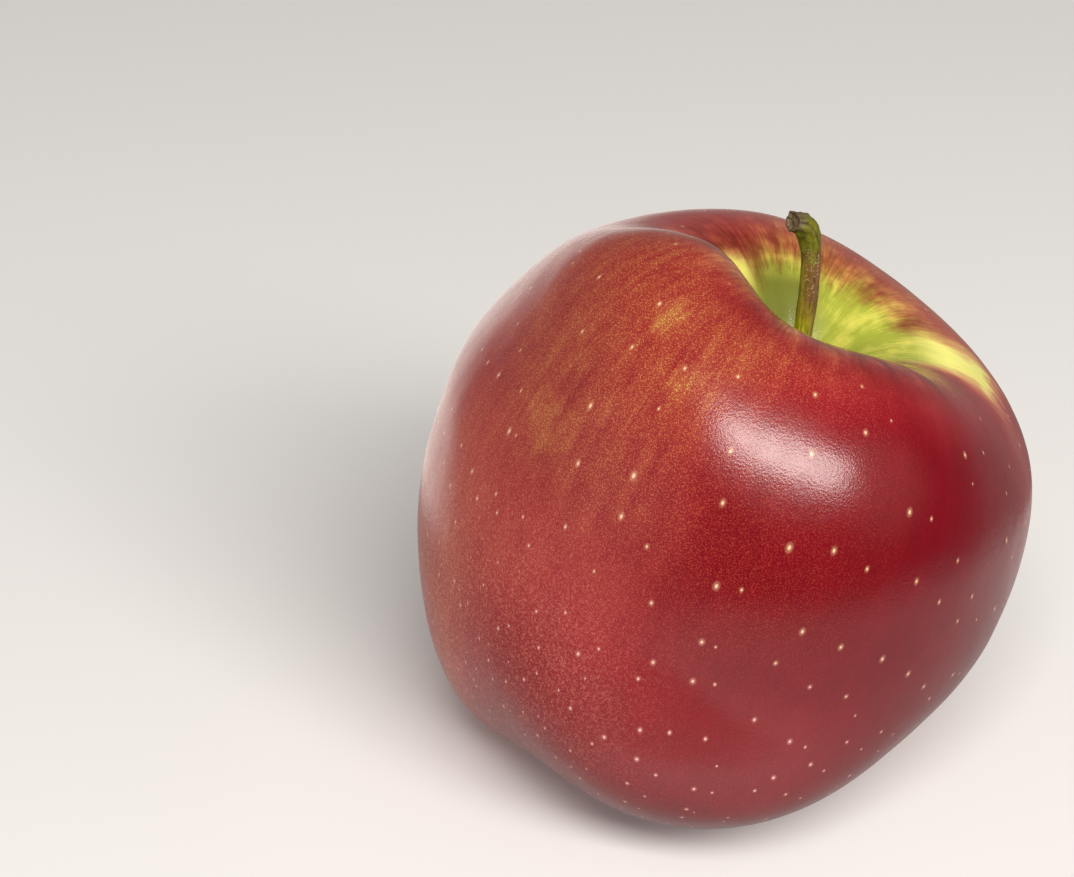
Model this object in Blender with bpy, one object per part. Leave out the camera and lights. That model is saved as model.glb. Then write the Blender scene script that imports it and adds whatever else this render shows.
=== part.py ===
"""A whole ripe red eating fruit with its stem, lying as it rests on a table.

The skin is one closed solid. It is worked out from a half section that is turned round the core, and
slow waves round the core then make it as uneven as the real fruit. The core leans, as the fruit rests
on the rim of the basin underneath. The woody stem stands in the cavity on top, and the dried sepals
sit in the basin. Sizes here are in millimetres, and the meshes are in metres.
"""
import math

import bmesh
import bpy
import numpy as np

MM = 0.001

# The half section, from the middle of the core
RADIUS = 38.6
SHOULDER_HEIGHT = 35.0
CROWN_DEPTH = 40.0
SHOULDER_FULLNESS = 2.55
CROWN_FULLNESS = 2.29
CAVITY_DEPTH = 18.8
CAVITY_WIDTH = 10.8
CAVITY_SHAPE = 1.5
BASIN_DEPTH = 8.5
BASIN_WIDTH = 9.5

# Waves round the core: order, then the parts along the cosine and the sine of the angle.
# The first two lift the skin, in millimetres, and the others widen it, as a share of its radius
SHOULDER_WAVES = {1: (-2.9, -4.4), 2: (-0.7, 1.2), 3: (-0.9, -1.0), 4: (0.3, 0.6), 5: (-0.1, 0.0)}
CROWN_WAVES = {1: (4.5, -2.0), 5: (0.0, 0.6)}
PLAN_WAVES = {2: (-0.026, -0.016), 3: (0.0, 0.018)}
CHEST_WAVES = {1: (0.033, 0.009), 2: (-0.018, 0.029), 3: (0.006, 0.009)}
FLANK_WAVES = {1: (-0.020, -0.068), 2: (-0.023, 0.007), 3: (0.0, 0.057)}
RIB_WAVES = {5: (0.0, -0.027)}
SHOULDER_RISE = 1.15
CROWN_RISE = 1.2

# The stem's foot stands a little to one side of the core
FOOT_SHIFT = 2.0
FOOT_REACH = 7.0

# How the fruit lies: the core's lean, and its middle over the table
LEAN_RIGHT = math.radians(18.3)
LEAN_NEAR = math.radians(8.4)
MIDDLE = np.array([0.36, 1.30, 35.4])

SKIN_SIDES = 64
SKIN_RINGS = 46
SECTION_STEPS = 1200

# The stem: points on its axis from the fruit's middle, with its radius at each. It leans out of the
# cavity, stands up straight, and bends over at its thick end, which is a dished scar
STEM_AXIS = [
    ((7.05, -2.30, 16.10), 0.65),
    ((7.15, -2.30, 16.60), 1.10),
    ((7.80, -2.40, 19.60), 1.20),
    ((8.65, -2.60, 23.70), 1.18),
    ((9.00, -2.70, 27.20), 1.23),
    ((9.20, -2.70, 30.00), 1.21),
    ((9.30, -2.70, 33.30), 1.21),
    ((9.15, -2.75, 35.30), 1.33),
    ((8.80, -3.05, 36.95), 1.48),
    ((8.10, -3.60, 38.10), 1.48),
    ((7.30, -4.20, 38.70), 1.30),
    ((6.85, -4.55, 38.85), 1.16),
]
STEM_SIDES = 14
STEM_STEPS = 2
STEM_RIDGE = 0.04
SCAR_RADIUS = 0.80
SCAR_DISH = 0.25

# The dried sepals in the basin underneath
SEPALS = 5
SEPAL_SIDES = 40
SEPAL_RINGS = 5
SEPAL_ROOT = 2.0
SEPAL_REACH = 3.8
SEPAL_THICK = 0.5
SEPAL_GAP = 0.4
SEPAL_CURL = 1.0


def ease(x):
    """Rises smoothly from 0 to 1."""
    x = np.clip(x, 0.0, 1.0)
    return x * x * (3.0 - 2.0 * x)


def wave(waves, angle):
    return sum(c * np.cos(k * angle) + s * np.sin(k * angle) for k, (c, s) in waves.items())


def half_section(rings):
    """Radius and height down the skin, from the cavity's floor to the basin's, evenly spaced."""
    turn = np.linspace(math.pi / 2, -math.pi / 2, SECTION_STEPS + 1)
    upper = turn >= 0.0
    power = 2.0 / np.where(upper, SHOULDER_FULLNESS, CROWN_FULLNESS)
    radius = RADIUS * np.clip(np.cos(turn), 0.0, 1.0) ** power
    height = np.where(upper, SHOULDER_HEIGHT, -CROWN_DEPTH) * np.abs(np.sin(turn)) ** power
    cavity = CAVITY_DEPTH * np.exp(-((radius / CAVITY_WIDTH) ** CAVITY_SHAPE))
    basin = BASIN_DEPTH * np.exp(-((radius / BASIN_WIDTH) ** 2))
    height = height + np.where(upper, -cavity, basin)
    run = np.concatenate([[0.0], np.cumsum(np.hypot(np.diff(radius), np.diff(height)))])
    at = np.linspace(0.0, run[-1], rings)
    return np.interp(at, run, radius), np.interp(at, run, height)


def rest(points):
    """Leans points of the core's frame and sets them on the table."""
    c, s = math.cos(LEAN_RIGHT), math.sin(LEAN_RIGHT)
    to_right = np.array([[c, 0.0, s], [0.0, 1.0, 0.0], [-s, 0.0, c]])
    c, s = math.cos(LEAN_NEAR), math.sin(LEAN_NEAR)
    to_near = np.array([[1.0, 0.0, 0.0], [0.0, c, -s], [0.0, s, c]])
    return np.asarray(points) @ (to_near @ to_right).T + MIDDLE


def skin_point(radius, height, angle):
    """The skin where the half section has this radius and height, at this angle round the core."""
    up = np.clip(height / SHOULDER_HEIGHT, 0.0, 1.0)
    down = np.clip(-height / CROWN_DEPTH, 0.0, 1.0)
    plan = 1.0 + wave(PLAN_WAVES, angle) + ease(down) * wave(RIB_WAVES, angle)
    plan += np.sin(math.pi * up) ** 2 * wave(CHEST_WAVES, angle)
    plan += np.sin(math.pi * down) ** 2 * wave(FLANK_WAVES, angle)
    shoulder = ease(SHOULDER_RISE * up) * (1.0 - np.exp(-((radius / CAVITY_WIDTH) ** 2)))
    crown = ease(CROWN_RISE * down) * (1.0 - np.exp(-((radius / BASIN_WIDTH) ** 2)))
    lift = shoulder * wave(SHOULDER_WAVES, angle) + crown * wave(CROWN_WAVES, angle)
    foot = FOOT_SHIFT * np.exp(-((radius / FOOT_REACH) ** 2)) * ease(up)
    return np.stack([radius * plan * np.cos(angle) + foot, radius * plan * np.sin(angle), height + lift], -1)


def solid(name, grid, top, bottom):
    """One closed body from rings of points, with a point that closes each end."""
    mesh = bpy.data.meshes.new(name)
    bm = bmesh.new()
    rings = [[bm.verts.new(point * MM) for point in ring] for ring in grid]
    for upper, lower in zip(rings, rings[1:]):
        for k in range(len(upper)):
            after = (k + 1) % len(upper)
            bm.faces.new((upper[k], lower[k], lower[after], upper[after]))
    for point, ring in ((top, rings[0]), (bottom, rings[-1])):
        pole = bm.verts.new(np.asarray(point) * MM)
        for k in range(len(ring)):
            bm.faces.new((pole, ring[k], ring[(k + 1) % len(ring)]))
    bmesh.ops.recalc_face_normals(bm, faces=bm.faces)
    bm.to_mesh(mesh)
    bm.free()
    mesh.shade_smooth()
    thing = bpy.data.objects.new(name, mesh)
    bpy.context.scene.collection.objects.link(thing)
    return thing


def finish(thing, colour, roughness):
    material = bpy.data.materials.new(thing.name)
    material.use_nodes = True
    shader = material.node_tree.nodes["Principled BSDF"]
    shader.inputs["Base Color"].default_value = (*colour, 1.0)
    shader.inputs["Roughness"].default_value = roughness
    shader.inputs["Metallic"].default_value = 0.0
    thing.data.materials.append(material)


def make_fruit():
    """The skin, cut flat where it rests on the table."""
    radius, height = half_section(SKIN_RINGS)
    angle = np.linspace(0.0, 2.0 * math.pi, SKIN_SIDES, endpoint=False)
    grid = [rest(skin_point(np.full_like(angle, r), np.full_like(angle, h), angle))
            for r, h in zip(radius[1:-1], height[1:-1])]
    poles = rest(skin_point(radius[[0, -1]], height[[0, -1]], np.zeros(2)))
    fruit = solid("fruit", grid, poles[0], poles[1])
    bm = bmesh.new()
    bm.from_mesh(fruit.data)
    everything = bm.verts[:] + bm.edges[:] + bm.faces[:]
    bmesh.ops.bisect_plane(bm, geom=everything, plane_co=(0, 0, 0), plane_no=(0, 0, -1), clear_outer=True)
    open_edges = [edge for edge in bm.edges if edge.is_boundary]
    bmesh.ops.holes_fill(bm, edges=open_edges, sides=0)
    bmesh.ops.recalc_face_normals(bm, faces=bm.faces)
    bm.to_mesh(fruit.data)
    bm.free()
    fruit.data.shade_smooth()
    fruit.data.set_sharp_from_angle(angle=math.radians(40))
    finish(fruit, (0.30, 0.03, 0.03), 0.35)


def curve_through(points, steps):
    """Points on a smooth curve through the given ones."""
    points = np.array(points)
    ends = np.concatenate([[2 * points[0] - points[1]], points, [2 * points[-1] - points[-2]]])
    out = []
    for before, start, end, after in zip(ends, ends[1:], ends[2:], ends[3:]):
        for k in range(steps):
            t = k / steps
            out.append(0.5 * (2 * start + (end - before) * t + (2 * before - 5 * start + 4 * end - after) * t * t
                              + (3 * start - before - 3 * end + after) * t ** 3))
    return np.array(out + [points[-1]])


def make_stem():
    """A round woody stalk with faint ridges along it."""
    steps = curve_through([(*point, radius) for point, radius in STEM_AXIS], STEM_STEPS)
    axis, radii = steps[:, :3] + MIDDLE, steps[:, 3]
    along = np.gradient(axis, axis=0)
    along /= np.linalg.norm(along, axis=1)[:, None]
    across = np.array([1.0, 0.0, 0.0])
    turn = np.linspace(0.0, 2.0 * math.pi, STEM_SIDES, endpoint=False)[:, None]
    ridge = 1.0 + STEM_RIDGE * np.cos(3.0 * turn)
    grid = []
    for centre, forward, radius in zip(axis, along, radii):
        across = across - forward * (across @ forward)
        across /= np.linalg.norm(across)
        ring = np.cos(turn) * across + np.sin(turn) * np.cross(forward, across)
        grid.append(centre + radius * ridge * ring)
    dish = axis[-1] - SCAR_DISH * along[-1]
    grid.append(dish + SCAR_RADIUS * ring)
    stem = solid("stem", grid, axis[0], dish - SCAR_DISH * along[-1])
    stem.data.set_sharp_from_angle(angle=math.radians(50))
    finish(stem, (0.20, 0.13, 0.04), 0.6)


def make_calyx():
    """Five dried sepals that lie against the basin and curl away from it at their tips."""
    turn = np.linspace(0.0, 2.0 * math.pi, SEPAL_SIDES, endpoint=False)
    lobe = np.abs(np.cos(0.5 * SEPALS * turn))
    edge = SEPAL_ROOT + SEPAL_REACH * lobe
    radius, height = half_section(SECTION_STEPS)
    basin = height[::-1] < -0.5 * CROWN_DEPTH
    basin_radius, basin_height = radius[::-1][basin], height[::-1][basin]

    def sheet(share, drop):
        reach = share * edge
        points = skin_point(reach, np.interp(reach, basin_radius, basin_height), turn)
        points[:, 2] -= SEPAL_GAP + SEPAL_CURL * (share * lobe) ** 2 + drop
        return points

    shares = np.linspace(0.0, 1.0, SEPAL_RINGS + 1)
    grid = [rest(sheet(share, 0.0)) for share in shares[1:]]
    grid += [rest(sheet(share, SEPAL_THICK)) for share in shares[:0:-1]]
    calyx = solid("calyx", grid, rest(sheet(0.0, 0.0))[0], rest(sheet(0.0, SEPAL_THICK))[0])
    calyx.data.set_sharp_from_angle(angle=math.radians(50))
    finish(calyx, (0.10, 0.06, 0.03), 0.85)


for thing in list(bpy.data.objects):
    bpy.data.objects.remove(thing, do_unlink=True)
make_fruit()
make_stem()
make_calyx()
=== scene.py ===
import math

import bmesh
import bpy
import numpy as np
from mathutils import Matrix, Vector, noise


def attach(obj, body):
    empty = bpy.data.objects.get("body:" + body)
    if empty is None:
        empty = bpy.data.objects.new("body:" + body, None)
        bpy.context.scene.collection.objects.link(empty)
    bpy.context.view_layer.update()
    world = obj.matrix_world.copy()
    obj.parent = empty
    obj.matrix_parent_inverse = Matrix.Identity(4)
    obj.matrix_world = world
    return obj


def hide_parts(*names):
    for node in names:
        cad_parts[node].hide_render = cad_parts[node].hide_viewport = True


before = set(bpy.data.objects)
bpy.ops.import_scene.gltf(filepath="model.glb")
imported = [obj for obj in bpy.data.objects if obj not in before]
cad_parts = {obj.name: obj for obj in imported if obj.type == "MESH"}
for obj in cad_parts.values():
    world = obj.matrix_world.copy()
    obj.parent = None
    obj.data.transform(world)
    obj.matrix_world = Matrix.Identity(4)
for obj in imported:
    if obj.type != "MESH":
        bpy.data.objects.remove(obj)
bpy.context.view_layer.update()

# Skin
# The skin holds the whole, uncut fruit. It is thin and waxed, yellow-green underneath and flushed red
# where the sun reached it. It grew in one piece round the core, which leans as the fruit rests.
scene = bpy.context.scene
MM = 0.001
# Sizes are in millimetres
SKIN_SIZES = {
    "Sides": 300,
    "Rings": 216,
    "Section Steps": 1200,
    "Radius": 38.6,
    "Shoulder Height": 35.0,
    "Crown Depth": 40.0,
    "Shoulder Fullness": 2.55,
    "Crown Fullness": 2.29,
    "Cavity Depth": 18.8,
    "Cavity Width": 10.8,
    "Cavity Shape": 1.5,
    "Basin Depth": 8.5,
    "Basin Width": 9.5,
    "Shoulder Rise": 1.15,
    "Crown Rise": 1.2,
    "Foot Shift": 2.0,
    "Foot Reach": 7.0,
    "Lump Height": 0.30,
    "Lump Size": 13.0,
    "Dimple Height": 0.06,
    "Dimple Size": 3.5,
    "Fold Height": 0.45,
    "Lean Right": math.radians(18.3),
    "Lean Near": math.radians(8.4),
    "Middle": (0.36, 1.30, 35.4),
}
# Slow waves round the core: how often each comes in a turn, with its cosine and sine parts, in
# millimetres up the shoulder and the crown, and as shares of the radius for the others
SHOULDER_WAVES = {1: (-2.9, -4.4), 2: (-0.7, 1.2), 3: (-0.9, -1.0), 4: (0.3, 0.6), 5: (-0.1, 0.0)}
CROWN_WAVES = {1: (4.5, -2.0), 5: (0.0, 0.6)}
PLAN_WAVES = {2: (-0.026, -0.016), 3: (0.0, 0.018)}
CHEST_WAVES = {1: (0.033, 0.009), 2: (-0.018, 0.029), 3: (0.006, 0.009)}
FLANK_WAVES = {1: (-0.020, -0.068), 2: (-0.023, 0.007), 3: (0.0, 0.057)}
RIB_WAVES = {5: (0.0, -0.027)}
SKIN_LENGTH = 129.5
# Points this near become one, so that seams and poles are shut
SHUT_WITHIN = 0.002
FOLD_PITCH = (3.2, 3.2, 0.05)
FOLDED_RUN = (3, 10, 18, 32)
REST_BLEND = 0.7


def feed(tree, socket, value):
    """Links a node's input to what makes its value, or sets it to a plain one."""
    if isinstance(value, Amount):
        value = value.socket
    if isinstance(value, bpy.types.NodeSocket):
        tree.links.new(value, socket)
    else:
        socket.default_value = value


def put(tree, kind, inputs=None, **settings):
    """A new node with its settings, and its inputs fed by name or number."""
    node = tree.nodes.new(kind)
    for name, value in settings.items():
        setattr(node, name, value)
    for key, value in (inputs or {}).items():
        feed(tree, node.inputs[key], value)
    return node


class Amount:
    """A number that a node tree works out at each point, written as in a formula."""

    def __init__(self, tree, socket):
        self.tree = tree
        self.socket = socket

    def sum(self, how, *others):
        node = self.tree.nodes.new("ShaderNodeMath")
        node.operation = how
        for socket, value in zip(node.inputs, (self, *others)):
            feed(self.tree, socket, value)
        return Amount(self.tree, node.outputs[0])

    def __add__(self, other):
        return self.sum("ADD", other)

    def __sub__(self, other):
        return self.sum("SUBTRACT", other)

    def __mul__(self, other):
        return self.sum("MULTIPLY", other)

    def __truediv__(self, other):
        return self.sum("DIVIDE", other)

    def __pow__(self, other):
        return self.sum("POWER", other)

    def __neg__(self):
        return self.sum("MULTIPLY", -1.0)

    __radd__ = __add__
    __rmul__ = __mul__

    def left_of(self, whole):
        """What is left of a whole when this is taken from it."""
        return (-self) + whole

    def rise(self, start, end):
        """Rises smoothly from 0 at the start to 1 at the end."""
        node = put(self.tree, "ShaderNodeMapRange", {0: self, 1: start, 2: end, 3: 0.0, 4: 1.0},
                   interpolation_type="SMOOTHSTEP")
        return Amount(self.tree, node.outputs[0])

    def between(self, start, full, still, end):
        """Rises from 0 at the start to 1 where it is full, and falls again from still to end."""
        return self.rise(start, full) * self.rise(still, end).left_of(1.0)


def waves_at(angle, waves):
    """The sum of slow waves round the core."""
    total = None
    for order, parts in waves.items():
        for how, part in zip(("COSINE", "SINE"), parts):
            if part:
                term = (angle * order).sum(how) * part
                total = term if total is None else total + term
    return total


def socket_kind(value):
    if isinstance(value, tuple):
        return "NodeSocketVector"
    return "NodeSocketInt" if isinstance(value, int) else "NodeSocketFloat"


def new_tree(name, sizes):
    """An empty geometry tree with a named input for each size."""
    tree = bpy.data.node_groups.new(name, "GeometryNodeTree")
    for key, value in sizes.items():
        tree.interface.new_socket(name=key, in_out="INPUT", socket_type=socket_kind(value))
    tree.interface.new_socket(name="Material", in_out="INPUT", socket_type="NodeSocketMaterial")
    tree.interface.new_socket(name="Mesh", in_out="OUTPUT", socket_type="NodeSocketGeometry")
    given = tree.nodes.new("NodeGroupInput")
    return tree, {socket.name: Amount(tree, socket) for socket in given.outputs if socket.name}


def end_tree(tree, mesh, given):
    """Ends a geometry tree: smooth, with no instances left, and with its material on."""
    smooth = put(tree, "GeometryNodeSetShadeSmooth", {"Geometry": mesh})
    real = put(tree, "GeometryNodeRealizeInstances", {"Geometry": smooth.outputs[0]})
    painted = put(tree, "GeometryNodeSetMaterial",
                  {"Geometry": real.outputs[0], "Material": given["Material"]})
    put(tree, "NodeGroupOutput", {"Mesh": painted.outputs[0]})


def grow(name, tree, sizes, material):
    """The plain mesh that a geometry tree makes, as a piece at the origin."""
    piece = bpy.data.objects.new(name, bpy.data.meshes.new(name))
    scene.collection.objects.link(piece)
    modifier = piece.modifiers.new(name, "NODES")
    modifier.node_group = tree
    for item in tree.interface.items_tree:
        if item.in_out == "INPUT":
            modifier[item.identifier] = material if item.name == "Material" else sizes[item.name]
    made = piece.evaluated_get(bpy.context.evaluated_depsgraph_get())
    mesh = bpy.data.meshes.new_from_object(made)
    piece.modifiers.remove(modifier)
    piece.data = mesh
    mesh.name = name
    return piece


def lean(tree, upright, given):
    """Leans what stands round the core to the right and then to the near side, and sets it in place."""
    right = put(tree, "ShaderNodeCombineXYZ", {"Y": given["Lean Right"]})
    near = put(tree, "ShaderNodeCombineXYZ", {"X": given["Lean Near"]})
    place = put(tree, "ShaderNodeVectorMath", {0: given["Middle"], "Scale": MM}, operation="SCALE")
    leaned = put(tree, "GeometryNodeTransform",
                 {"Geometry": upright.outputs[0], "Rotation": right.outputs[0], "Scale": (MM, MM, MM)})
    return put(tree, "GeometryNodeTransform",
               {"Geometry": leaned.outputs[0], "Rotation": near.outputs[0], "Translation": place.outputs[0]})


def skin_tree():
    tree, given = new_tree("turned fruit skin", SKIN_SIZES)

    # The half section, from the cavity's floor over the shoulder and down to the basin's
    line = put(tree, "GeometryNodeCurvePrimitiveLine")
    steps = given["Section Steps"]
    points = put(tree, "GeometryNodeResampleCurve", {"Curve": line.outputs[0], "Count": steps + 1.0})
    turn = (Amount(tree, put(tree, "GeometryNodeInputIndex").outputs[0]) / steps).left_of(0.5) * math.pi
    upper = turn.sum("GREATER_THAN", 0.0)
    fullness = given["Crown Fullness"] + upper * (given["Shoulder Fullness"] - given["Crown Fullness"])
    power = 2.0 * fullness ** -1.0
    radius = given["Radius"] * turn.sum("COSINE").sum("MAXIMUM", 0.0) ** power
    reach = upper * (given["Shoulder Height"] + given["Crown Depth"]) - given["Crown Depth"]
    height = reach * turn.sum("SINE").sum("ABSOLUTE") ** power
    cavity = (-((radius / given["Cavity Width"]) ** given["Cavity Shape"])).sum("EXPONENT")
    basin = (-((radius / given["Basin Width"]) ** 2.0)).sum("EXPONENT")
    height = height - upper * (cavity * given["Cavity Depth"])
    height = height + upper.left_of(1.0) * (basin * given["Basin Depth"])
    at = put(tree, "ShaderNodeCombineXYZ", {"X": radius, "Z": height})
    section = put(tree, "GeometryNodeSetPosition", {"Geometry": points.outputs[0], "Position": at.outputs[0]})

    # A sheet of points round the core and down the section
    sheet = put(tree, "GeometryNodeMeshGrid",
                {"Vertices X": given["Sides"] + 1.0, "Vertices Y": given["Rings"],
                 "Size X": 1.0, "Size Y": 1.0})
    spot = put(tree, "ShaderNodeSeparateXYZ", {0: put(tree, "GeometryNodeInputPosition").outputs[0]})
    angle = (Amount(tree, spot.outputs["X"]) + 0.5) * (2.0 * math.pi)
    share = Amount(tree, spot.outputs["Y"]).left_of(0.5)
    down = put(tree, "GeometryNodeSampleCurve", {"Curves": section.outputs[0], "Factor": share},
               mode="FACTOR")
    reached = put(tree, "ShaderNodeSeparateXYZ", {0: down.outputs["Position"]})
    radius = Amount(tree, reached.outputs["X"])
    height = Amount(tree, reached.outputs["Z"])

    # The waves that make it uneven
    up = height / given["Shoulder Height"]
    low = -(height / given["Crown Depth"])
    chest = (up.sum("MAXIMUM", 0.0).sum("MINIMUM", 1.0) * math.pi).sum("SINE") ** 2.0
    flank = (low.sum("MAXIMUM", 0.0).sum("MINIMUM", 1.0) * math.pi).sum("SINE") ** 2.0
    plan = waves_at(angle, PLAN_WAVES) + low.rise(0.0, 1.0) * waves_at(angle, RIB_WAVES) + 1.0
    plan = plan + chest * waves_at(angle, CHEST_WAVES) + flank * waves_at(angle, FLANK_WAVES)
    past_cavity = (-((radius / given["Cavity Width"]) ** 2.0)).sum("EXPONENT").left_of(1.0)
    past_basin = (-((radius / given["Basin Width"]) ** 2.0)).sum("EXPONENT").left_of(1.0)
    lift = (up * given["Shoulder Rise"]).rise(0.0, 1.0) * past_cavity * waves_at(angle, SHOULDER_WAVES)
    lift = lift + (low * given["Crown Rise"]).rise(0.0, 1.0) * past_basin * waves_at(angle, CROWN_WAVES)
    foot = (-((radius / given["Foot Reach"]) ** 2.0)).sum("EXPONENT") * given["Foot Shift"]
    foot = foot * up.rise(0.0, 1.0)
    cosine = angle.sum("COSINE")
    sine = angle.sum("SINE")
    skin = put(tree, "ShaderNodeCombineXYZ",
               {"X": radius * plan * cosine + foot, "Y": radius * plan * sine, "Z": height + lift})
    place = put(tree, "ShaderNodeCombineXYZ", {"X": cosine, "Y": sine, "Z": share * SKIN_LENGTH})
    noted = put(tree, "GeometryNodeStoreNamedAttribute",
                {"Geometry": sheet.outputs[0], "Name": "way", "Value": place.outputs[0]},
                data_type="FLOAT_VECTOR", domain="POINT")
    turned = put(tree, "GeometryNodeSetPosition", {"Geometry": noted.outputs[0], "Position": skin.outputs[0]})

    # Slow lumps and small dimples all over, and soft folds that run out of the stem cavity
    shut = put(tree, "GeometryNodeMergeByDistance",
               {"Geometry": turned.outputs[0], "Distance": SHUT_WITHIN})
    here = put(tree, "GeometryNodeInputPosition").outputs[0]
    relief = None
    for kind in ("Lump", "Dimple"):
        bumps = put(tree, "ShaderNodeTexNoise",
                    {"Vector": here, "Scale": given[kind + " Size"] ** -1.0, "Detail": 1.0})
        part = (Amount(tree, bumps.outputs["Fac"]) - 0.5) * given[kind + " Height"]
        relief = part if relief is None else relief + part
    way = put(tree, "GeometryNodeInputNamedAttribute", {"Name": "way"}, data_type="FLOAT_VECTOR").outputs[0]
    stretched = put(tree, "ShaderNodeVectorMath", {0: way, 1: FOLD_PITCH}, operation="MULTIPLY")
    folds = put(tree, "ShaderNodeTexNoise", {"Vector": stretched.outputs[0], "Scale": 1.0, "Detail": 2.0})
    run = Amount(tree, put(tree, "ShaderNodeSeparateXYZ", {0: way}).outputs["Z"])
    folds = (Amount(tree, folds.outputs["Fac"]) - 0.5) * given["Fold Height"]
    relief = relief + folds * run.between(*FOLDED_RUN)
    outwards = put(tree, "GeometryNodeInputNormal")
    offset = put(tree, "ShaderNodeVectorMath", {0: outwards.outputs[0], "Scale": relief}, operation="SCALE")
    uneven = put(tree, "GeometryNodeSetPosition", {"Geometry": shut.outputs[0], "Offset": offset.outputs[0]})

    # It leans on the rim of its basin, which gives way a little where it rests
    stood = lean(tree, uneven, given)
    last = put(tree, "ShaderNodeSeparateXYZ", {0: put(tree, "GeometryNodeInputPosition").outputs[0]})
    over = put(tree, "ShaderNodeCombineXYZ",
               {"X": last.outputs["X"], "Y": last.outputs["Y"],
                "Z": Amount(tree, last.outputs["Z"]).sum("SMOOTH_MAX", 0.0, REST_BLEND * MM)})
    rested = put(tree, "GeometryNodeSetPosition", {"Geometry": stood.outputs[0], "Position": over.outputs[0]})
    end_tree(tree, rested.outputs[0], given)
    return tree


def fleck_group():
    """Small soft flecks of one size, which skin, bark and sepals all have."""
    tree = bpy.data.node_groups.new("flecks", "ShaderNodeTree")
    for name, kind, start in (("Vector", "NodeSocketVector", None), ("Size", "NodeSocketFloat", 0.001),
                              ("Bare Up To", "NodeSocketFloat", 0.5), ("Full From", "NodeSocketFloat", 0.6)):
        socket = tree.interface.new_socket(name=name, in_out="INPUT", socket_type=kind)
        if start is not None:
            socket.default_value = start
    tree.interface.new_socket(name="Flecks", in_out="OUTPUT", socket_type="NodeSocketFloat")
    tree.interface.new_socket(name="Grain", in_out="OUTPUT", socket_type="NodeSocketFloat")
    given = tree.nodes.new("NodeGroupInput")
    scale = Amount(tree, given.outputs["Size"]) ** -1.0
    grain = put(tree, "ShaderNodeTexNoise", {"Vector": given.outputs["Vector"], "Scale": scale, "Detail": 2.0,
                                             "Roughness": 0.55})
    amount = Amount(tree, grain.outputs["Fac"])
    flecks = amount.rise(given.outputs["Bare Up To"], given.outputs["Full From"])
    put(tree, "NodeGroupOutput", {"Flecks": flecks, "Grain": amount})
    return tree


FLECKS = fleck_group()


def flecks_at(tree, vector, size, bare, full):
    node = put(tree, "ShaderNodeGroup", node_tree=FLECKS)
    for name, value in (("Vector", vector), ("Size", size), ("Bare Up To", bare), ("Full From", full)):
        feed(tree, node.inputs[name], value)
    return Amount(tree, node.outputs["Flecks"]), Amount(tree, node.outputs["Grain"])


def noise_at(tree, vector, size, detail=2.0):
    node = put(tree, "ShaderNodeTexNoise", {"Vector": vector, "Scale": 1.0 / size, "Detail": detail})
    return Amount(tree, node.outputs["Fac"]) - 0.5


def mix(tree, share, first, second):
    """A colour part of the way from the first to the second."""
    node = put(tree, "ShaderNodeMix", data_type="RGBA")
    feed(tree, node.inputs[0], share)
    feed(tree, node.inputs[6], first)
    feed(tree, node.inputs[7], second)
    return node.outputs[2]


def new_material(name, roughness, **constants):
    material = bpy.data.materials.new(name)
    material.use_nodes = True
    shader = material.node_tree.nodes["Principled BSDF"]
    shader.inputs["Metallic"].default_value = 0.0
    shader.inputs["Roughness"].default_value = roughness
    for key, value in constants.items():
        shader.inputs[key.replace("_", " ")].default_value = value
    return material, material.node_tree, shader


# The ground, what each colour of it keeps under one layer of flush, and the flecks and dots
GROUND_YELLOW = (0.72, 0.66, 0.115, 1.0)
GROUND_GREEN = (0.36, 0.40, 0.045, 1.0)
GROUND_OLIVE = (0.56, 0.60, 0.085, 1.0)
# Painted shade: a dark green that the ground turns to deep in the stem cavity and in the stem's shadow
PAINTED_SHADE_GREEN = (0.20, 0.215, 0.03, 1.0)
BARE_YELLOW = (0.97, 0.93, 0.23, 1.0)
FLUSH_PASSES = (0.575, 0.104, 0.355)
GOLD_SPECK = (0.78, 0.34, 0.04, 1.0)
PINK_SPECK = (0.86, 0.43, 0.26, 1.0)
PALE_BLOOM = (0.70, 0.50, 0.48, 1.0)
SHOULDER_LENTICEL = (0.86, 0.54, 0.30, 1.0)
FLANK_LENTICEL = (0.84, 0.46, 0.38, 1.0)

# Places on the skin: the side of the core in degrees, how far to each side of it the patch is full
# and where it ends, and the runs from the stem, in millimetres, where it starts, is full, wanes and ends
SUNNY_FRONT = (294, 20, 60, (26, 38, 56, 84))
DULL_LEFT = (222, 12, 48, (22, 32, 48, 66))
GOLDEN_LEFT = (228, 25, 72, (20, 30, 50, 74))
LOW_LEFT = (205, 25, 62, (54, 76, 96, 114))
# Low on the near side: deeper flush, partly real and partly painted shade that darkens the bottom
LOW_FRONT_FLUSH_AND_SHADE = (275, 40, 75, (60, 80, 130, 140))
NEAR_RIM = (262, 25, 60, (22, 26, 27, 31))
# Just above the highlight: thinner flush, a painted glow round the highlight
PAINTED_GLOW_ABOVE_GLOSS = (254, 6, 24, (24, 30, 36, 46))
FAR_SHOULDER = (56, 25, 60, (18, 24, 34, 50))
FAR_FLANK = (95, 20, 60, (34, 52, 84, 104))
# The far wall of the stem cavity, where the shadow of the stem and rim is painted in
STEM_SHADOW_WALL = (96, 10, 32, (8, 12, 15, 20))

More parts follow.
